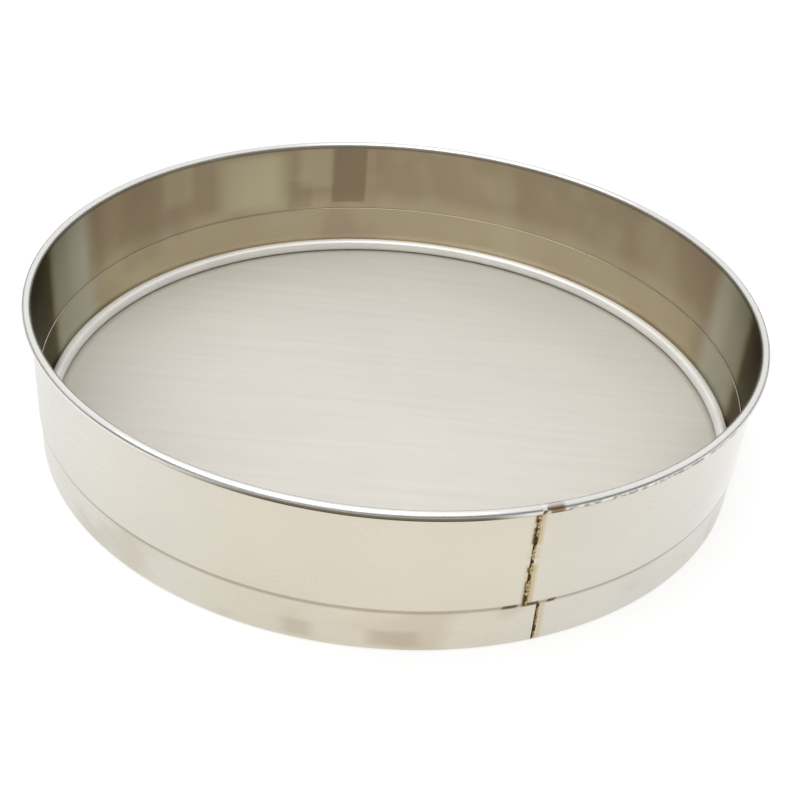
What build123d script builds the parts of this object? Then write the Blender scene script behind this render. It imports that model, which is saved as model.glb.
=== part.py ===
from build123d import *
from math import acos, cos, degrees, radians, sin
import os

# Test sieve, 300 mm nominal: a rolled steel frame over a nested skirt, with clamped wire cloth.
# Lengths are in millimetres. Z is the sieve's axis, the skirt stands on Z = 0, and -Y is the front.
# Radii are measured from the axis. Angles are in degrees, anticlockwise from +X, seen from above.

# Frame: one strip of sheet, with its top edge curled outwards into a hollow rim bead
sheet = 0.6                   # gauge of the frame and of the skirt
frame_radius = 150.0          # outside of the frame's wall
overall_height = 63.8         # from the table to the top of the rim bead
rim_bead_radius = 1.8         # outside of the curl
rim_curl_gap = 0.3            # from the wall to the curl's end, which points back at it

# Skirt: a second strip, nested in the frame's lower end, with its lower edge folded in and up
skirt_exposed = 18.8          # height of the skirt below the frame
skirt_overlap = 9.0           # height of the skirt inside the frame
nest_clearance = 0.1          # radial, between the frame and the skirt
hem_width = 3.0               # from the skirt's outside to the folded leg's inside
hem_fold_radius = 0.9         # outside of each fold
cloth_seat_height = 4.6       # top of the folded leg, which carries the cloth

# Wire cloth and the ring that clamps its edge on the seat
cloth_thickness = 0.3         # two wires at a crossing
edge_clearance = 0.1          # radial, from the skirt's inside to the cloth and the ring
clamp_ring_width = 4.8
clamp_ring_height = 5.8

# Butt seams: each strip's ends are joined by a flush weld, with a notch between its nuggets
seam_weld_width = 1.4
frame_seam_angle = -69.1
skirt_seam_angle = -66.9
nugget_pitch = 2.0
notch_width = 0.5
notch_depth = 0.2

# Tack welds in the corner under the frame's lower edge: (first, last) angle of each
tack_leg = 0.6
tack_spans = ((-72.2, -70.1), (-69.4, -67.1), (-65.7, -64.5))

# Rounded sections are runs of narrow flats, which keeps the tessellated part light
curl_flats = 3                # flats in a quarter turn of the rim's curl, and of a tack
fold_flats = 2                # the same in the skirt's folds and round the clamp ring

# What follows from them
frame_inside = frame_radius - sheet
frame_bottom = skirt_exposed
rim_centre = (frame_inside + rim_bead_radius, overall_height - rim_bead_radius)
rim_curl_end = frame_radius + rim_curl_gap
rim_curl_arc = 180 + degrees(acos((rim_curl_end - rim_centre[0]) / rim_bead_radius))
skirt_radius = frame_inside - nest_clearance
skirt_inside = skirt_radius - sheet
skirt_top = skirt_exposed + skirt_overlap
hem_inside = skirt_radius - hem_width
cloth_radius = skirt_inside - edge_clearance
cloth_top = cloth_seat_height + cloth_thickness
clamp_ring_radius = cloth_radius - clamp_ring_width / 2
frame_seam_arc = degrees(seam_weld_width / frame_radius)
skirt_seam_arc = degrees(seam_weld_width / skirt_radius)


def radial_plane(angle):
    """The half-plane through the axis at an angle: local X is the radius and local Y is Z."""
    a = radians(angle)
    return Plane(origin=(0, 0, 0), x_dir=(cos(a), sin(a), 0), z_dir=(sin(a), -cos(a), 0))


def turn(centre, radius, start, arc, quarter_flats):
    """Points round an arc, joined by about that many flats for each quarter turn."""
    count = max(1, round(quarter_flats * abs(arc) / 90))
    angles = [radians(start + arc * i / count) for i in range(count + 1)]
    return [(centre[0] + radius * cos(a), centre[1] + radius * sin(a)) for a in angles]


def frame_section(angle):
    """The frame's wall and curl, cut by the half-plane at an angle."""
    outside = turn(rim_centre, rim_bead_radius, 180, -rim_curl_arc, curl_flats)
    lining = turn(rim_centre, rim_bead_radius - sheet, 180 - rim_curl_arc, rim_curl_arc, curl_flats)
    with BuildSketch(radial_plane(angle)) as section:
        with BuildLine():
            ends = [(frame_radius, frame_bottom), (frame_inside, frame_bottom)]
            Polyline(*outside, *lining, *ends, close=True)
        make_face()
    return section.sketch


def skirt_section(angle):
    """The skirt's wall, its flat foot and the leg that carries the cloth, cut in the same way."""
    outer_fold = (skirt_radius - hem_fold_radius, hem_fold_radius)
    inner_fold = (hem_inside + hem_fold_radius, hem_fold_radius)
    lining_radius = hem_fold_radius - sheet
    with BuildSketch(radial_plane(angle)) as section:
        with BuildLine():
            Polyline(
                (skirt_radius, skirt_top),
                *turn(outer_fold, hem_fold_radius, 0, -90, fold_flats),
                *turn(inner_fold, hem_fold_radius, -90, -90, fold_flats),
                (hem_inside, cloth_seat_height),
                (hem_inside + sheet, cloth_seat_height),
                *turn(inner_fold, lining_radius, 180, 90, fold_flats),
                *turn(outer_fold, lining_radius, 270, 90, fold_flats),
                (skirt_inside, skirt_top),
                close=True,
            )
        make_face()
    return section.sketch


def cut_notches(radius, low, high, angle, arc):
    """Notches across a seam weld's outside, between its nuggets."""
    count = round((high - low) / nugget_pitch)
    pitch = (high - low) / count
    half_width = notch_width / 2
    with BuildSketch(radial_plane(angle)) as notches:
        with Locations(*[(radius, low + pitch * i) for i in range(1, count)]):
            Polygon((-notch_depth, 0), (0, -half_width), (0, half_width), align=None)
    revolve(notches.sketch, axis=Axis.Z, revolution_arc=arc, mode=Mode.SUBTRACT)


os.makedirs("parts", exist_ok=True)

# Frame and its seam weld, which carries the same section across the gap
with BuildPart() as upper_frame:
    section = frame_section(frame_seam_angle + frame_seam_arc / 2)
    revolve(section, axis=Axis.Z, revolution_arc=360 - frame_seam_arc)
upper_frame.part.label = "upper_frame"
export_step(upper_frame.part, "parts/upper_frame.step")

with BuildPart() as frame_seam_weld:
    seam_start = frame_seam_angle - frame_seam_arc / 2
    revolve(frame_section(seam_start), axis=Axis.Z, revolution_arc=frame_seam_arc)
    rim_underside = rim_centre[1] - rim_bead_radius
    cut_notches(frame_radius, frame_bottom, rim_underside, seam_start, frame_seam_arc)
frame_seam_weld.part.label = "frame_seam_weld"
export_step(frame_seam_weld.part, "parts/frame_seam_weld.step")

# Skirt and its seam weld
with BuildPart() as skirt:
    section = skirt_section(skirt_seam_angle + skirt_seam_arc / 2)
    revolve(section, axis=Axis.Z, revolution_arc=360 - skirt_seam_arc)
skirt.part.label = "skirt"
export_step(skirt.part, "parts/skirt.step")

with BuildPart() as skirt_seam_weld:
    seam_start = skirt_seam_angle - skirt_seam_arc / 2
    revolve(skirt_section(seam_start), axis=Axis.Z, revolution_arc=skirt_seam_arc)
    cut_notches(skirt_radius, hem_fold_radius, frame_bottom, seam_start, skirt_seam_arc)
skirt_seam_weld.part.label = "skirt_seam_weld"
export_step(skirt_seam_weld.part, "parts/skirt_seam_weld.step")

# Cloth: a flat disc that lies on the skirt's folded leg
with BuildPart() as mesh_cloth:
    with BuildSketch(Plane.XY.offset(cloth_seat_height)):
        Circle(cloth_radius)
    extrude(amount=cloth_thickness)
mesh_cloth.part.label = "mesh_cloth"
export_step(mesh_cloth.part, "parts/mesh_cloth.step")

# Clamp ring: a rod with rounded top and bottom, bent into a ring that fits inside the skirt
with BuildPart() as clamp_ring:
    rod_radius = clamp_ring_width / 2
    crown = (clamp_ring_radius, cloth_top + clamp_ring_height - rod_radius)
    foot = (clamp_ring_radius, cloth_top + rod_radius)
    with BuildSketch(radial_plane(0)):
        with BuildLine():
            top_half = turn(crown, rod_radius, 0, 180, fold_flats)
            bottom_half = turn(foot, rod_radius, 180, 180, fold_flats)
            Polyline(*top_half, *bottom_half, close=True)
        make_face()
    revolve(axis=Axis.Z)
clamp_ring.part.label = "clamp_ring"
export_step(clamp_ring.part, "parts/clamp_ring.step")

# Tack welds: quarter-round fillets between the frame's lower edge and the skirt
with BuildPart() as joint_tacks:
    corner = (skirt_radius, frame_bottom)
    for first_angle, last_angle in tack_spans:
        with BuildSketch(radial_plane(first_angle)):
            with BuildLine():
                Polyline(corner, *turn(corner, tack_leg, 270, 90, curl_flats), close=True)
            make_face()
        revolve(axis=Axis.Z, revolution_arc=last_angle - first_angle)
joint_tacks.part.label = "joint_tacks"
export_step(joint_tacks.part, "parts/joint_tacks.step")
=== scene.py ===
from math import cos, degrees, pi, radians, sin

import bpy
from mathutils import Matrix, Vector, noise


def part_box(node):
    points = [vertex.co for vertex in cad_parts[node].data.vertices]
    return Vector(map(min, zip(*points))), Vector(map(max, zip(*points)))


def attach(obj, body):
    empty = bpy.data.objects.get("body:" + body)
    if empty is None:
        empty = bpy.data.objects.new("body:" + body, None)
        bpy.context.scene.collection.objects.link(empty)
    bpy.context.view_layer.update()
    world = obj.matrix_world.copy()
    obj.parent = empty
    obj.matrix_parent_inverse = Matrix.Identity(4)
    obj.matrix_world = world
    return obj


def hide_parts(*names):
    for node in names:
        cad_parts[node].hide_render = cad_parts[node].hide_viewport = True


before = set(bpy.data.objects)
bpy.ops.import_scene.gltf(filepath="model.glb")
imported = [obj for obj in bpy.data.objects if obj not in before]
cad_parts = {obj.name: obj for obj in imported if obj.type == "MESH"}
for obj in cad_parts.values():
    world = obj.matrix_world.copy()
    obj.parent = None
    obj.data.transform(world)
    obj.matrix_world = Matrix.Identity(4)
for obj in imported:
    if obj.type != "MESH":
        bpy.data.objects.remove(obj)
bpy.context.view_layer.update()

# A test sieve: a rolled frame with a curled rim over a nested skirt, wire cloth and its clamp ring.
# Lengths are in metres, taken from the frame where it has them. Z is the sieve's axis and -Y its
# front. Azimuths are in degrees, anticlockwise from +X, seen from above.
MM = 0.001
FRAME_LO, FRAME_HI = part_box("upper_frame")
SKIRT_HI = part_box("skirt")[1]
CLOTH_LO, CLOTH_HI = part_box("mesh_cloth")
RING_LO, RING_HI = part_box("clamp_ring")

SHEET = 0.6 * MM                       # gauge of the frame and the skirt
BEAD_RADIUS = 1.8 * MM                 # outside of the rim's curl
CURL_ARC = 300.0                       # degrees through which the rim is curled
BEAD_X = FRAME_HI.x - BEAD_RADIUS      # radius and height of the curl's centre
BEAD_Z = FRAME_HI.z - BEAD_RADIUS
FRAME_INSIDE = FRAME_HI.x - 2 * BEAD_RADIUS
FRAME_OUTSIDE = FRAME_INSIDE + SHEET
FRAME_EDGE_ROUND = 0.12 * MM           # on both corners of the frame's lower edge
JOINT_Z = FRAME_LO.z                   # the frame's lower edge, where the skirt comes out

SKIRT_OUTSIDE = SKIRT_HI.x
SKIRT_INSIDE = SKIRT_OUTSIDE - SHEET
SKIRT_TOP = SKIRT_HI.z
LIP_ROUND = 0.5 * MM                   # on the skirt's top inner edge
HEM_INSIDE = SKIRT_OUTSIDE - 3.0 * MM  # inside of the folded leg that carries the cloth
HEM_FOLD = 0.9 * MM                    # outside of each fold
SEAT_Z = CLOTH_LO.z

RING_WIDTH = 4.8 * MM
RING_INSIDE = RING_HI.x - RING_WIDTH

SEAM_WIDTH = 1.4 * MM
FRAME_SEAM = -69.1                     # azimuths of the welds
SKIRT_SEAM = -66.9
TACKS = ((-72.2, -70.1), (-69.4, -67.1), (-65.7, -64.5))

AROUND = 900                           # facets round a full turn
CLOTH_RINGS = 60                       # the cloth's mesh, outwards and round
CLOTH_AROUND = 240
SHARP_ANGLE = 40.0                     # a crease in the shading starts here
WALL_Z = (60 * MM, 50 * MM, 40 * MM, 30 * MM, 22 * MM)      # extra points up the frame's wall

CLOTH_SAG = 0.12 * MM                  # mean depth of the cloth's unevenness
CLOTH_WAVES = (18, 30)                 # its waves per metre along X and Y
CLOTH_FLAT = 20 * MM                   # the clamped edge takes it out over this width
WEAVE_PITCH = 0.32 * MM

# Colours, as linear red, green and blue
WHITE = (1.0, 1.0, 1.0)
OUTER = (0.690, 0.640, 0.526)          # cream-grey outside, at the front
SIDE_REFLECTION = (0.705, 0.686, 0.628)           # painted reflection: the outside away from the front, paler and less yellow
# The pale flank colour below is a painted reflection on the outside's right flank
PALE_FLANK_REFLECTION = (0.930, 0.925, 0.910)
# The two inside colours below are painted reflection: the inside of the same sheet painted darker and
# browner than its outside
INNER_FRAME = (0.452, 0.374, 0.264)    # browner inside, above the skirt's top edge
INNER_SKIRT = (0.580, 0.502, 0.354)
# The bead's top colour below is a painted highlight, brighter than the wall of the same sheet
BEAD_HIGHLIGHT = (0.800, 0.795, 0.770)
# Painted light, lifting the skirt's top edge inside
LIP_PAINTED_LIGHT = (0.95, 0.90, 0.78)
# Dark brown, for patches and streaks inside, and for the painted shade on the skirt's rounded top edge
DARK_BROWN = (0.240, 0.180, 0.120)
# Dark olive, for painted shade where the ring meets the cloth and a painted dark reflection just inside
# the bead
OLIVE_SHADE = (0.085, 0.075, 0.048)
LIGHT_OLIVE = (0.640, 0.610, 0.430)
GREY_GREEN = (0.640, 0.635, 0.530)
DEEP_SHADE = (0.085, 0.095, 0.080)
UNDER_RIM_SHADOW = (0.095, 0.075, 0.038)      # painted shadow: the dark line under the bead
MOTTLE_BROWN = (0.42, 0.31, 0.27)
STREAK_BROWN = (0.56, 0.44, 0.36)
PATCH_BROWN = (0.46, 0.36, 0.24)
LOW_PATCH_BROWN = (0.40, 0.32, 0.24)
# Dirt and painted shade along the joint between frame and skirt
JOINT_GRIME_AND_SHADE = (0.260, 0.225, 0.140)

HEAT_TINT = (0.520, 0.390, 0.200)      # beside the welds
BURNT = (0.085, 0.055, 0.022)
RIM_BURNT = (0.22, 0.135, 0.045)
STRAW = (0.60, 0.48, 0.27)             # the seam's nuggets
DARK_STRAW = (0.40, 0.28, 0.11)
SEAM_DASH = (0.055, 0.035, 0.012)
SEAM_ON_BEAD = (0.16, 0.10, 0.04)
TACK_BLACK = (0.030, 0.020, 0.010)
TACK_BROWN = (0.20, 0.13, 0.05)

RING = (0.970, 0.965, 0.945)
CLOTH = (0.695, 0.671, 0.613)
CLOTH_GAPS = (0.30, 0.29, 0.27)        # between the wires
CLOTH_EDGE_SHADE = (0.55, 0.52, 0.44)        # painted shade along the ring

GRAZING = (0.30, 0.30, 0.28)           # how much of a grazing reflection the inside keeps
# Under the bead's painted shadow the grazing reflection is taken away as well
GRAZING_UNDER_RIM = (0.05, 0.05, 0.04)

ROOM = (0.16, 0.13, 0.10)
FLOOR = (0.35, 0.35, 0.35)

# Places of the finish round the sieve: first azimuth, last azimuth, soft edge
FRAME_FRONT = (-118.0, -62.0, 26.0)
SKIRT_FRONT = (-118.0, -66.0, 22.0)
RIGHT_FLANK_REFLECTION = (-31.0, -6.0, 11.0)
FRAME_SEAM_HALO = (FRAME_SEAM - 0.60, FRAME_SEAM + 0.90, 0.45)
FRAME_SEAM_KNOTS = (FRAME_SEAM - 0.50, FRAME_SEAM + 0.34, 0.10)
RIM_SMEAR = (FRAME_SEAM + 0.1, FRAME_SEAM + 2.7, 0.4)
SKIRT_SEAM_HALO = (SKIRT_SEAM + 0.25, SKIRT_SEAM + 1.00, 0.45)
SKIRT_LOW_PATCHES = ((-101.5, -97.5, 1.2), (-90.0, -83.0, 1.2))
TACK_SOFT = 0.25

# The painted shadow under the bead: the azimuths over which it appears, and over which it ends
RIM_SHADOW_FRONT = ((-124.0, -102.0), (-77.0, -70.5))
RIM_SHADOW_RIGHT = ((-69.5, -67.0), (-45.0, -22.0))

# Soft upright patches on the inside, darker and lighter, and painted shade at its right end: first and
# last azimuth, lowest and highest z in mm, soft edge in degrees and in mm, colour, strength
INSIDE_PATCHES = (
    (99.4, 106.1, 31.1, 61.0, 0.35, 0.8, DARK_BROWN, 0.55),
    (97.4, 99.2, 31.1, 61.0, 0.30, 0.8, STREAK_BROWN, 0.45),
    (110.2, 115.2, 28.7, 44.0, 0.60, 1.2, DARK_BROWN, 0.30),
    (106.3, 112.8, 40.0, 62.0, 1.20, 2.5, LIGHT_OLIVE, 0.35),
    (116.0, 129.0, 31.0, 60.0, 3.00, 3.5, LIGHT_OLIVE, 0.90),
    (130.0, 135.7, 34.0, 62.0, 1.50, 3.0, DARK_BROWN, 0.14),
    (136.0, 142.5, 44.0, 64.0, 1.50, 4.0, LIGHT_OLIVE, 0.35),
    (143.5, 154.0, 20.0, 60.0, 2.00, 4.0, DARK_BROWN, 0.20),
    (163.0, 177.5, 5.0, 64.0, 2.50, 3.0, GREY_GREEN, 1.00),
    (2.5, 17.0, 5.0, 64.0, 2.50, 3.0, GREY_GREEN, 0.90),
    # This dark band is painted shade at the inside's right end
    (-14.0, 1.0, 5.0, 61.5, 1.80, 3.0, DEEP_SHADE, 0.62),
    (66.0, 74.0, 28.0, 60.0, 3.00, 3.0, DARK_BROWN, 0.12),
)


# ---------------------------------------------------------------- meshes

def polar(radius, angle, z):
    """A point from its radius, its angle in degrees and its height."""
    a = radians(angle)
    return (radius * cos(a), radius * sin(a), z)


def arc_points(centre, radius, start, arc, steps):
    """Points (radius, height) round an arc of a section, ends included."""
    angles = [radians(start + arc * i / steps) for i in range(steps + 1)]
    return [(centre[0] + radius * cos(a), centre[1] + radius * sin(a)) for a in angles]


def make_object(name, verts, faces):
    """A smooth-shaded object from its points and faces, with creases at sharp angles."""
    mesh = bpy.data.meshes.new(name)
    mesh.from_pydata(verts, [], faces)
    mesh.validate()
    mesh.update()
    mesh.shade_smooth()
    mesh.set_sharp_from_angle(angle=radians(SHARP_ANGLE))
    obj = bpy.data.objects.new(name, mesh)
    bpy.context.scene.collection.objects.link(obj)
    return obj


def revolved(name, section, start=0.0, arc=360.0):
    """A closed section (radius, height), anticlockwise, turned about the axis."""
    full = arc >= 360.0
    steps = round(AROUND * arc / 360.0)
    rings = steps if full else steps + 1
    n = len(section)
    verts = []
    for i in range(rings):
        angle = start + arc * i / steps
        verts += [polar(r, angle, z) for r, z in section]
    faces = []
    for i in range(steps):
        j = (i + 1) % rings
        for k in range(n):
            m = (k + 1) % n
            faces.append((i * n + k, j * n + k, j * n + m, i * n + m))
    if not full:
        faces.append(tuple(range(n)))
        faces.append(tuple((rings - 1) * n + k for k in reversed(range(n))))
    return make_object(name, verts, faces)


# ---------------------------------------------------------------- shader nodes

class Shader:
    """A short way to write a material's nodes. Numbers and sockets may be mixed as inputs."""

    def __init__(self, name):
        self.material = bpy.data.materials.new(name)
        self.material.use_nodes = True
        self.tree = self.material.node_tree
        self.tree.nodes.clear()
        self.position = self.add("ShaderNodeTexCoord").outputs["Object"]
        split = self.add("ShaderNodeSeparateXYZ", {0: self.position})
        self.x, self.y, self.z = split.outputs

    def add(self, kind, inputs=None, **settings):
        """A new node, with its settings made and its inputs set or linked."""
        node = self.tree.nodes.new(kind)
        for key, value in settings.items():
            setattr(node, key, value)
        for key, value in (inputs or {}).items():
            if isinstance(value, bpy.types.NodeSocket):
                self.tree.links.new(value, node.inputs[key])
            else:
                node.inputs[key].default_value = value
        return node

    def math(self, operation, *values):
        return self.add("ShaderNodeMath", dict(enumerate(values)), operation=operation).outputs[0]

    def product(self, first, *others):
        result = first
        for other in others:
            result = self.math("MULTIPLY", result, other)
        return result

    def step(self, value, low, high):
        """0 below low and 1 above high, smooth between; with low over high it falls."""
        if low > high:
            return self.math("SUBTRACT", 1.0, self.step(value, high, low))
        inputs = {"Value": value, "From Min": low, "From Max": high}
        node = self.add("ShaderNodeMapRange", inputs, interpolation_type="SMOOTHSTEP")
        return node.outputs[0]

    def band(self, value, low, high, soft):
        """1 between low and high, fading over soft on both sides."""
        rise = self.step(value, low - soft, low + soft)
        return self.product(rise, self.step(value, high + soft, high - soft))

    def between(self, value, rise, fall):
        """1 between two ranges: it rises over the first and falls over the second."""
        return self.product(self.step(value, *rise), self.step(value, fall[1], fall[0]))

    def remap(self, value, low, high, to_low, to_high):
        """The value's way from low to high, as a way between two others."""
        inputs = {"Value": value, "From Min": low, "From Max": high, "To Min": to_low, "To Max": to_high}
        return self.add("ShaderNodeMapRange", inputs).outputs[0]

    def noise(self, x, y, z, detail=2.0, rough=0.5):
        """Noise with so many cells to the metre along each axis."""
        place = self.add("ShaderNodeVectorMath", {0: self.position, 1: (x, y, z)}, operation="MULTIPLY")
        inputs = {"Vector": place.outputs[0], "Scale": 1.0, "Detail": detail, "Roughness": rough}
        return self.add("ShaderNodeTexNoise", inputs).outputs["Fac"]

    def mix(self, factor, a, b, blend="MIX"):
        """Colour a at factor 0 and b at factor 1."""
        node = self.add("ShaderNodeMix", data_type="RGBA", blend_type=blend)
        for socket, value in zip((node.inputs[0], node.inputs[6], node.inputs[7]), (factor, a, b)):
            if isinstance(value, bpy.types.NodeSocket):
                self.tree.links.new(value, socket)
            elif isinstance(value, tuple):
                socket.default_value = (*value, 1.0)
            else:
                socket.default_value = value
        return node.outputs[2]

    def tint(self, colour, factor, to, strength):
        """The colour moved towards another by a factor from 0 to 1, times a strength."""
        return self.mix(self.product(factor, strength), colour, to)

    def shaded(self, colour, value):
        """The colour times a number."""
        grey = self.add("ShaderNodeCombineColor", {0: value, 1: value, 2: value}).outputs[0]
        return self.mix(1.0, colour, grey, "MULTIPLY")

    def bump(self, height, distance, strength, normal=None):
        inputs = {"Height": height, "Distance": distance, "Strength": strength}
        if normal is not None:
            inputs["Normal"] = normal
        return self.add("ShaderNodeBump", inputs).outputs[0]

    def polar(self):
        """The radius, and the azimuth in degrees from -180 to 180, with its jump at -X."""
        squares = self.math("ADD", self.math("POWER", self.x, 2.0), self.math("POWER", self.y, 2.0))
        angle = self.product(self.math("ARCTAN2", self.y, self.x), 180.0 / pi)
        return self.math("SQRT", squares), angle

    def finish(self, surface):
        out = self.add("ShaderNodeOutputMaterial")
        self.tree.links.new(surface, out.inputs["Surface"])
        return self.material

    def surface(self, colour, metallic, roughness, normal, **others):
        """The finished material. Other inputs are named with underscores for their spaces."""
        inputs = {"Base Color": colour, "Metallic": metallic, "Roughness": roughness, "Normal": normal}
        inputs.update({name.replace("_", " "): value for name, value in others.items()})
        return self.finish(self.add("ShaderNodeBsdfPrincipled", inputs).outputs[0])


# ---------------------------------------------------------------- materials

def patched_and_shaded(s, colour, angle):
    """A colour with faint olive and brown mottling, the patches of the inside, and painted shade at both
    ends of the inside.
    """
    mottle = s.noise(30.0, 30.0, 24.0)
    colour = s.tint(colour, s.step(mottle, 0.48, 0.66), LIGHT_OLIVE, 0.28)
    colour = s.tint(colour, s.step(mottle, 0.46, 0.32), MOTTLE_BROWN, 0.35)

    # The painted shade at the left end lies across the angle's jump, so it is made of two parts
    from_jump = s.math("SUBTRACT", 180.0, s.math("ABSOLUTE", angle))
    left_end = s.math("MAXIMUM", s.step(from_jump, 4.2, 0.6), s.step(angle, -160.0, -166.0))
    colour = s.tint(colour, s.product(left_end, s.step(s.z, 5 * MM, 9 * MM)), DEEP_SHADE, 0.62)

    for first, last, bottom, top, soft, soft_z, to, strength in INSIDE_PATCHES:
        height = s.band(s.z, bottom * MM, top * MM, soft_z * MM)
        colour = s.tint(colour, s.product(s.band(angle, first, last, soft), height), to, strength)
    return colour


def rolled_sheet(s, colour, inside, grazing):
    """Sheet with fine rolling lines round the circumference, which spread its reflections upright."""
    lines = s.noise(14.0, 14.0, 1400.0, detail=3.0, rough=0.6)
    broad = s.noise(16.0, 16.0, 22.0)
    shade = s.product(s.remap(lines, 0.3, 0.7, 0.985, 1.015), s.remap(broad, 0.3, 0.7, 0.97, 1.03))
    roughness = s.math("ADD", s.remap(lines, 0.3, 0.7, 0.25, 0.28), s.product(inside, 0.03))
    normal = s.bump(broad, 0.6 * MM, 0.2, s.bump(lines, 0.002 * MM, 0.4))
    tangent = s.add("ShaderNodeTangent", direction_type="RADIAL", axis="Z").outputs[0]
    return s.surface(s.shaded(colour, shade), 1.0, roughness, normal, Tangent=tangent,
                     Specular_Tint=grazing, Anisotropic=0.85, Anisotropic_Rotation=0.25)


def tack_marks(s, angle):
    """1 along the joint where the tack welds burnt the sheets."""
    total = 0.0
    for first, last in TACKS:
        total = s.math("ADD", total, s.band(angle, first, last, TACK_SOFT))
    return total


def frame_outside(s, angle):
    """Cream at the front, with painted reflection paler at the sides and on the right flank, heat-tinted
    along the seam, and dirt and painted shade along the joint.
    """
    blush = s.noise(1.0, 1.0, 170.0)
    # Painted reflection: the front cream, the sides paler and less yellow, and a pale band on the right
    # flank
    colour = s.mix(s.band(angle, *FRAME_FRONT), SIDE_REFLECTION, OUTER)
    colour = s.tint(colour, s.band(angle, *RIGHT_FLANK_REFLECTION), PALE_FLANK_REFLECTION, 0.8)
    halo = s.product(s.band(angle, *FRAME_SEAM_HALO), s.step(blush, 0.30, 0.55))
    colour = s.tint(colour, halo, HEAT_TINT, 0.75)
    knots = s.product(s.band(angle, *FRAME_SEAM_KNOTS), s.step(blush, 0.50, 0.54))
    colour = s.tint(colour, knots, BURNT, 0.8)
    # Dirt and painted shade along the joint
    joint_band = s.step(s.z, JOINT_Z + 1.0 * MM, JOINT_Z + 0.3 * MM)
    colour = s.tint(colour, joint_band, JOINT_GRIME_AND_SHADE, 0.6)
    return s.tint(colour, s.product(joint_band, tack_marks(s, angle)), BURNT, 0.85)


def frame_inside(s, angle):
    """Painted reflection: darker and browner than the outside, browner still towards the rim, with
    patches, painted shade at both ends and faint upright streaks.
    """
    low = s.step(s.z, SKIRT_TOP + 11 * MM, SKIRT_TOP - 1 * MM)
    colour = patched_and_shaded(s, s.mix(low, INNER_FRAME, INNER_SKIRT), angle)
    upright = s.noise(34.0, 34.0, 1.5, detail=1.0)
    return s.tint(colour, s.step(upright, 0.42, 0.62), DARK_BROWN, 0.15)


def frame_material():
    """The frame's strip. Its rim bead's top is painted bright as a highlight, with a painted dark
    reflection along its inside and a painted shadow below it.
    """
    s = Shader("frame_sheet")
    radius, angle = s.polar()
    inside = s.step(radius, FRAME_INSIDE + 0.2 * MM, FRAME_INSIDE + 0.1 * MM)
    outside = s.math("SUBTRACT", 1.0, inside)
    colour = s.mix(inside, frame_outside(s, angle), frame_inside(s, angle))

    # Painted highlight: the bead's top painted brighter than the wall
    colour = s.mix(s.step(s.z, BEAD_Z - 0.4 * MM, BEAD_Z + 0.2 * MM), colour, BEAD_HIGHLIGHT)
    # Painted dark reflection along the inside just under the bead
    rim_inside_dark_reflection = s.product(s.band(s.z, BEAD_Z - 0.9 * MM, BEAD_Z + 0.5 * MM, 0.25 * MM), inside)
    colour = s.tint(colour, rim_inside_dark_reflection, OLIVE_SHADE, 0.55)

    # Painted shadow under the bead, along the front, speckled on the right
    specks = s.noise(260.0, 260.0, 420.0)
    front = s.between(angle, *RIM_SHADOW_FRONT)
    right = s.product(s.between(angle, *RIM_SHADOW_RIGHT), s.step(specks, 0.42, 0.58))
    amount = s.math("MAXIMUM", s.product(front, 0.9), s.product(right, 0.5))
    under = s.band(s.z, BEAD_Z - 1.9 * MM, BEAD_Z + 0.5 * MM, 0.3 * MM)
    under = s.product(under, outside, amount)
    colour = s.mix(under, colour, UNDER_RIM_SHADOW)

    patch_mask = s.band(s.z, BEAD_Z - 1.2 * MM, BEAD_Z + 1.7 * MM, 0.4 * MM)
    patch_mask = s.product(s.band(angle, *RIM_SMEAR), patch_mask, s.step(specks, 0.34, 0.50))
    colour = s.tint(colour, patch_mask, RIM_BURNT, 0.85)

    grazing = s.mix(under, s.mix(inside, WHITE, GRAZING), GRAZING_UNDER_RIM)
    return rolled_sheet(s, colour, inside, grazing)


def skirt_outside(s, angle):
    """Cream at the front, with painted reflection paler at the sides, brown patches, two of them low
    down, heat-tinted at the seam, and dirt and painted shade at the joint.
    """
    patchy = s.noise(26.0, 26.0, 40.0)
    # Painted reflection: the front cream, the sides paler and less yellow
    colour = s.mix(s.band(angle, *SKIRT_FRONT), SIDE_REFLECTION, OUTER)
    colour = s.tint(colour, s.step(patchy, 0.5, 0.7), PATCH_BROWN, 0.30)
    for place in SKIRT_LOW_PATCHES:
        patch_mask = s.product(s.band(angle, *place), s.band(s.z, 2 * MM, 9 * MM, 1.5 * MM))
        colour = s.tint(colour, patch_mask, LOW_PATCH_BROWN, 0.35)
    colour = s.tint(colour, s.band(angle, *SKIRT_SEAM_HALO), HEAT_TINT, 0.45)
    # Dirt and painted shade along the joint
    joint_band = s.step(s.z, JOINT_Z - 2.0 * MM, JOINT_Z - 1.0 * MM)
    colour = s.tint(colour, joint_band, JOINT_GRIME_AND_SHADE, 0.50)
    return s.tint(colour, s.product(joint_band, tack_marks(s, angle)), BURNT, 0.85)


def skirt_material():
    """The skirt's strip, with painted light over its top and painted shade on its rounded inner edge, to
    tone that edge in with the wall round it.
    """
    s = Shader("skirt_sheet")
    radius, angle = s.polar()
    inside = s.step(radius, SKIRT_INSIDE + 0.2 * MM, SKIRT_INSIDE + 0.1 * MM)
    colour = s.mix(inside, skirt_outside(s, angle), patched_and_shaded(s, INNER_SKIRT, angle))
    # Painted light over the top millimetre
    top = s.step(s.z, SKIRT_TOP - 0.9 * MM, SKIRT_TOP - 0.4 * MM)
    colour = s.tint(colour, top, LIP_PAINTED_LIGHT, 0.16)
    # Painted shade on the rounded inner edge
    lip = s.band(s.z, SKIRT_TOP - 0.46 * MM, SKIRT_TOP - 0.12 * MM, 0.05 * MM)
    colour = s.tint(colour, lip, DARK_BROWN, 0.6)
    return rolled_sheet(s, colour, inside, s.mix(inside, WHITE, GRAZING))


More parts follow.
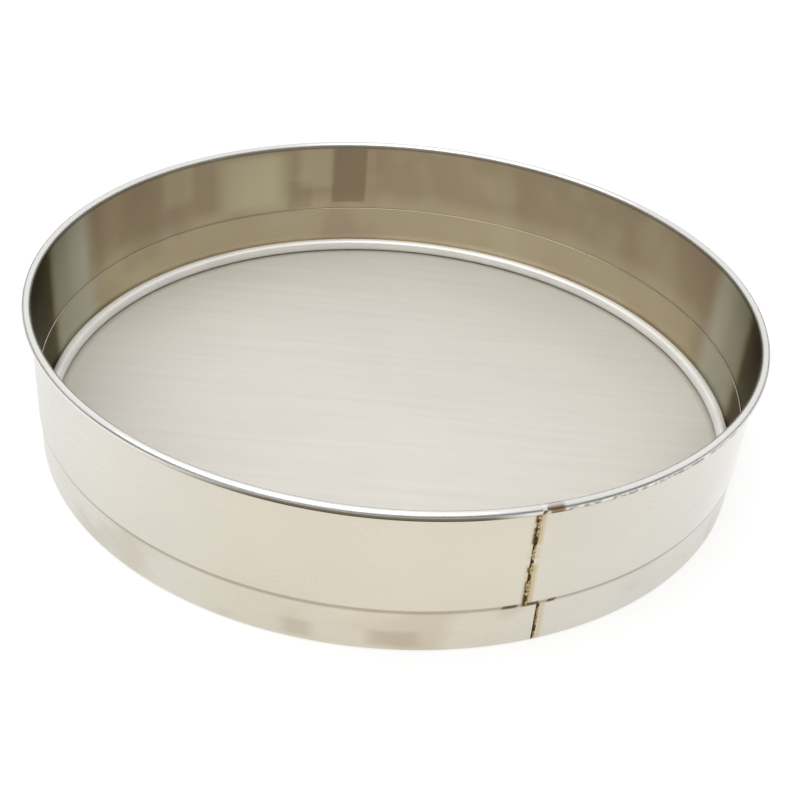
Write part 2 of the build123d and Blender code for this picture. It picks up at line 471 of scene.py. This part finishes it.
def ring_material():
    """The clamp ring: bright and lightly worn, with painted shade where it meets the cloth."""
    s = Shader("bright_ring")
    lines = s.noise(20.0, 20.0, 900.0)
    wear = s.noise(60.0, 60.0, 60.0, detail=3.0)
    colour = s.shaded(RING, s.remap(wear, 0.35, 0.7, 1.0, 0.93))
    # Painted shade where the ring meets the cloth
    colour = s.tint(colour, s.step(s.z, RING_LO.z + 1.0 * MM, RING_LO.z + 0.1 * MM), OLIVE_SHADE, 0.35)
    roughness = s.remap(lines, 0.3, 0.7, 0.28, 0.38)
    return s.surface(colour, 0.3, roughness, s.bump(wear, 0.2 * MM, 0.15))


def cloth_material():
    """Fine plain weave, with faint streaks along X, and painted shade along the ring: a dark line at the
    ring's foot and a duller border inwards of it.
    """
    s = Shader("wire_cloth")
    along_x = s.math("SINE", s.product(s.y, 2 * pi / WEAVE_PITCH))
    along_y = s.math("SINE", s.product(s.x, 2 * pi / WEAVE_PITCH))
    weave = s.math("ADD", s.product(along_x, along_x), s.product(along_y, along_y))
    streak = s.noise(9.0, 210.0, 1.0, detail=3.0, rough=0.6)
    cloud = s.noise(14.0, 14.0, 1.0)
    shade = s.product(s.remap(streak, 0.3, 0.72, 1.02, 0.955), s.remap(cloud, 0.3, 0.7, 0.98, 1.02))
    colour = s.mix(s.remap(weave, 0.0, 0.8, 0.35, 0.0), s.shaded(CLOTH, shade), CLOTH_GAPS)
    radius, _ = s.polar()
    # Painted shade where the cloth meets the ring
    contact = s.step(radius, RING_INSIDE - 3.0 * MM, RING_INSIDE + 0.6 * MM)
    colour = s.tint(colour, contact, OLIVE_SHADE, 0.35)
    # Painted shade: a duller border along the ring
    border = s.step(radius, RING_INSIDE - 14 * MM, RING_INSIDE)
    colour = s.tint(colour, border, CLOTH_EDGE_SHADE, 0.25)
    return s.surface(colour, 0.1, 0.6, s.bump(weave, 0.05 * MM, 0.3))


def seam_material(name, seam):
    """A flush butt weld: dark brown broken dashes, thicker on its left, between straw nuggets."""
    s = Shader(name)
    _, angle = s.polar()
    dashes = s.noise(180.0, 180.0, 330.0, detail=3.0, rough=0.6)
    fine = s.noise(1500.0, 1500.0, 1500.0)
    wander = s.math("SUBTRACT", s.noise(1.0, 1.0, 150.0), 0.5)
    across = s.math("ADD", s.math("SUBTRACT", angle, seam), s.product(wander, 0.7))
    limit = s.remap(across, -0.27, 0.27, 0.34, 0.60)
    dark = s.step(s.math("SUBTRACT", dashes, limit), 0.0, 0.05)
    colour = s.mix(s.step(fine, 0.4, 0.6), DARK_STRAW, STRAW)
    colour = s.tint(colour, dark, SEAM_DASH, 0.95)
    # On the bead the seam takes the bead's painted highlight
    on_bead = s.mix(s.step(dashes, 0.42, 0.50), BEAD_HIGHLIGHT, SEAM_ON_BEAD)
    colour = s.mix(s.step(s.z, BEAD_Z - 0.8 * MM, BEAD_Z + 0.4 * MM), colour, on_bead)
    return s.surface(colour, 1.0, s.remap(fine, 0.3, 0.7, 0.28, 0.5), s.bump(fine, 0.06 * MM, 0.5))


def tack_material():
    """Small tack welds, burnt nearly black, with brown blotches."""
    s = Shader("burnt_tack")
    blotch = s.noise(420.0, 420.0, 300.0, detail=3.0, rough=0.6)
    fine = s.noise(1500.0, 1500.0, 1500.0)
    colour = s.mix(s.step(blotch, 0.45, 0.62), TACK_BLACK, TACK_BROWN)
    return s.surface(colour, 1.0, s.remap(fine, 0.3, 0.7, 0.35, 0.6), s.bump(fine, 0.1 * MM, 0.5))


# ---------------------------------------------------------------- the sieve's pieces

def frame_section():
    """The frame's wall, its curled rim and its eased lower edge."""
    centre = (BEAD_X, BEAD_Z)
    soft = FRAME_EDGE_ROUND
    curl = arc_points(centre, BEAD_RADIUS, 180, -CURL_ARC, 50)
    lining = arc_points(centre, BEAD_RADIUS - SHEET, 180 - CURL_ARC, CURL_ARC, 30)
    wall_out = [(FRAME_OUTSIDE, z) for z in WALL_Z]
    foot = arc_points((FRAME_OUTSIDE - soft, JOINT_Z + soft), soft, 0, -90, 3)
    toe = arc_points((FRAME_INSIDE + soft, JOINT_Z + soft), soft, -90, -90, 3)
    wall_in = [(FRAME_INSIDE, z) for z in reversed(WALL_Z)]
    return list(reversed(curl + lining + wall_out + foot + toe + wall_in))


def skirt_section():
    """The skirt's wall, its flat foot and the leg that carries the cloth."""
    outer = (SKIRT_OUTSIDE - HEM_FOLD, HEM_FOLD)
    inner = (HEM_INSIDE + HEM_FOLD, HEM_FOLD)
    lining = HEM_FOLD - SHEET
    lip = (SKIRT_INSIDE + LIP_ROUND, SKIRT_TOP - LIP_ROUND)
    section = [(SKIRT_OUTSIDE, SKIRT_TOP), (SKIRT_OUTSIDE, 16 * MM), (SKIRT_OUTSIDE, 8 * MM)]
    section += arc_points(outer, HEM_FOLD, 0, -90, 10)
    section += arc_points(inner, HEM_FOLD, -90, -90, 10)
    section += [(HEM_INSIDE, SEAT_Z), (HEM_INSIDE + SHEET, SEAT_Z)]
    section += arc_points(inner, lining, 180, 90, 5)
    section += arc_points(outer, lining, 270, 90, 5)
    section += [(SKIRT_INSIDE, 12 * MM)]
    section += arc_points(lip, LIP_ROUND, 180, -90, 6)
    return list(reversed(section))


def ring_section():
    """A rod with a round top and bottom."""
    r = RING_WIDTH / 2
    centre = RING_INSIDE + r
    crown = arc_points((centre, RING_HI.z - r), r, 0, 180, 24)
    foot = arc_points((centre, RING_LO.z + r), r, 180, 180, 24)
    return crown + foot


def frame_walls():
    gap = degrees(SEAM_WIDTH / FRAME_OUTSIDE)
    wall = revolved("frame_wall", frame_section(), FRAME_SEAM + gap / 2, 360 - gap)
    wall.data.materials.append(frame_material())
    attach(wall, "root")
    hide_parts("upper_frame")


def skirt_walls():
    gap = degrees(SEAM_WIDTH / SKIRT_OUTSIDE)
    wall = revolved("skirt_wall", skirt_section(), SKIRT_SEAM + gap / 2, 360 - gap)
    wall.data.materials.append(skirt_material())
    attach(wall, "root")
    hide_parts("skirt")


def retaining_ring():
    ring = revolved("retaining_ring", ring_section())
    ring.data.materials.append(ring_material())
    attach(ring, "root")
    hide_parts("clamp_ring")


def cloth_mesh():
    """The cloth, drawn not quite flat: a slight unevenness that the clamped edge takes out."""
    radius, top, bottom = CLOTH_HI.x, CLOTH_HI.z, CLOTH_LO.z
    around = CLOTH_AROUND
    verts = [(0.0, 0.0, top - CLOTH_SAG)]
    for i in range(1, CLOTH_RINGS + 1):
        r = radius * i / CLOTH_RINGS
        free = min(1.0, (radius - r) / CLOTH_FLAT)
        for k in range(around):
            x, y, _ = polar(r, 360.0 * k / around, 0)
            wave = noise.noise(Vector((x * CLOTH_WAVES[0], y * CLOTH_WAVES[1], 3.0)))
            verts.append((x, y, top - CLOTH_SAG * (1 + wave) * free))
    edge = len(verts) - around
    base = len(verts)
    verts += [polar(radius, 360.0 * k / around, bottom) for k in range(around)]

    faces = [(0, 1 + k, 1 + (k + 1) % around) for k in range(around)]
    for i in range(CLOTH_RINGS - 1):
        a, b = 1 + i * around, 1 + (i + 1) * around
        for k in range(around):
            m = (k + 1) % around
            faces.append((a + k, b + k, b + m, a + m))
    for k in range(around):
        m = (k + 1) % around
        faces.append((edge + k, base + k, base + m, edge + m))
    faces.append(tuple(base + k for k in reversed(range(around))))
    return verts, faces


def cloth_disc():
    cloth = make_object("cloth", *cloth_mesh())
    cloth.data.materials.append(cloth_material())
    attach(cloth, "root")
    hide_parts("mesh_cloth")


def dress_welds():
    """The weld nodes keep their CAD shapes and get their own materials."""
    materials = {
        "frame_seam_weld": seam_material("frame_seam_tint", FRAME_SEAM),
        "skirt_seam_weld": seam_material("skirt_seam_tint", SKIRT_SEAM),
        "joint_tacks": tack_material(),
    }
    for node, material in materials.items():
        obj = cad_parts[node]
        obj.data.materials.clear()
        obj.data.materials.append(material)


# ---------------------------------------------------------------- stage, light and camera

def floor_material():
    """Grey paint that glows white for the camera and for reflections, and so keeps the shadow."""
    s = Shader("white_floor")
    seen = s.add("ShaderNodeLightPath")
    shown = s.math("MAXIMUM", seen.outputs["Is Camera Ray"], seen.outputs["Is Glossy Ray"])
    shown = s.math("MAXIMUM", shown, seen.outputs["Is Transmission Ray"])
    radius, _ = s.polar()
    far = s.product(s.step(radius, 0.5, 1.2), seen.outputs["Is Camera Ray"])
    strength = s.math("ADD", s.product(shown, 0.72), s.product(far, 0.28))
    glow = s.add("ShaderNodeEmission", {"Color": (*WHITE, 1.0), "Strength": strength})
    paint = s.add("ShaderNodeBsdfDiffuse", {"Color": (*FLOOR, 1.0)})
    both = s.add("ShaderNodeAddShader", {0: paint.outputs[0], 1: glow.outputs[0]})
    return s.finish(both.outputs[0])


def white_floor(half=6.0, below=0.2 * MM):
    """A floor just under the sieve's foot."""
    corners = [(-half, -half, 0), (half, -half, 0), (half, half, 0), (-half, half, 0)]
    floor = make_object("floor", corners, [(0, 1, 2, 3)])
    floor.location.z = -below
    floor.data.materials.append(floor_material())


def white_world():
    """A plain white overhead."""
    world = bpy.data.worlds.new("studio")
    bpy.context.scene.world = world
    world.use_nodes = True
    tree = world.node_tree
    tree.nodes.clear()
    background = tree.nodes.new("ShaderNodeBackground")
    background.inputs["Color"].default_value = (*WHITE, 1.0)
    background.inputs["Strength"].default_value = 1.0
    out = tree.nodes.new("ShaderNodeOutputWorld")
    tree.links.new(background.outputs[0], out.inputs["Surface"])


def dim_room(radius=2.5, side=0.85, front=2.0, back=0.5, around=72):
    """The dim room round the table, tallest at the front, for the polished sheet to reflect."""
    verts = []
    for k in range(around):
        a = 360.0 * k / around
        towards_front = -sin(radians(a))
        height = side + (front - side) * max(0.0, towards_front) ** 0.5
        height += (side - back) * min(0.0, towards_front)
        verts += [polar(radius, a, 0.0), polar(radius, a, height)]
    faces = []
    for k in range(around):
        m = (k + 1) % around
        faces.append((2 * k, 2 * m, 2 * m + 1, 2 * k + 1))
    room = make_object("dim_room", verts, faces)
    s = Shader("dim_paint")
    paint = s.add("ShaderNodeBsdfDiffuse", {"Color": (*ROOM, 1.0)})
    room.data.materials.append(s.finish(paint.outputs[0]))
    room.visible_camera = False


def key_light(place=(-0.4, -0.5, 1.4), size=2.25, power=12.5):
    """A large soft lamp above the front left, aimed at the middle of the sieve's foot."""
    light = bpy.data.lights.new("key", "AREA")
    light.shape = "DISK"
    light.size = size
    light.energy = power
    obj = bpy.data.objects.new("key", light)
    bpy.context.scene.collection.objects.link(obj)
    obj.location = place
    obj.rotation_mode = "QUATERNION"
    obj.rotation_quaternion = (-Vector(place)).to_track_quat("-Z", "Y")


def camera():
    """The photograph's camera, placed from the centre of the rim bead's circle."""
    elevation, roll = radians(33.62), radians(5.239)
    offset = Vector((0.18, -47.11, 530.6)) * MM        # right, down and forward to that centre
    forward = Vector((0.0, cos(elevation), -sin(elevation)))
    down = Vector((0.0, -sin(elevation), -cos(elevation)))
    right = Vector((1.0, 0.0, 0.0))
    right, down = right * cos(roll) - down * sin(roll), right * sin(roll) + down * cos(roll)
    centre = Vector((0.0, 0.0, BEAD_Z))
    place = centre - right * offset.x - down * offset.y - forward * offset.z
    data = bpy.data.cameras.new("camera")
    data.lens = 56.93
    data.sensor_width = 36.0
    data.clip_start = 0.01
    data.clip_end = 50.0
    obj = bpy.data.objects.new("camera", data)
    bpy.context.scene.collection.objects.link(obj)
    turn = Matrix((right, -down, -forward)).transposed()
    obj.matrix_world = Matrix.Translation(place) @ turn.to_4x4()
    bpy.context.scene.camera = obj


frame_walls()
skirt_walls()
retaining_ring()
cloth_disc()
dress_welds()
white_floor()
white_world()
dim_room()
key_light()
camera()
bpy.context.scene.view_settings.view_transform = "Standard"
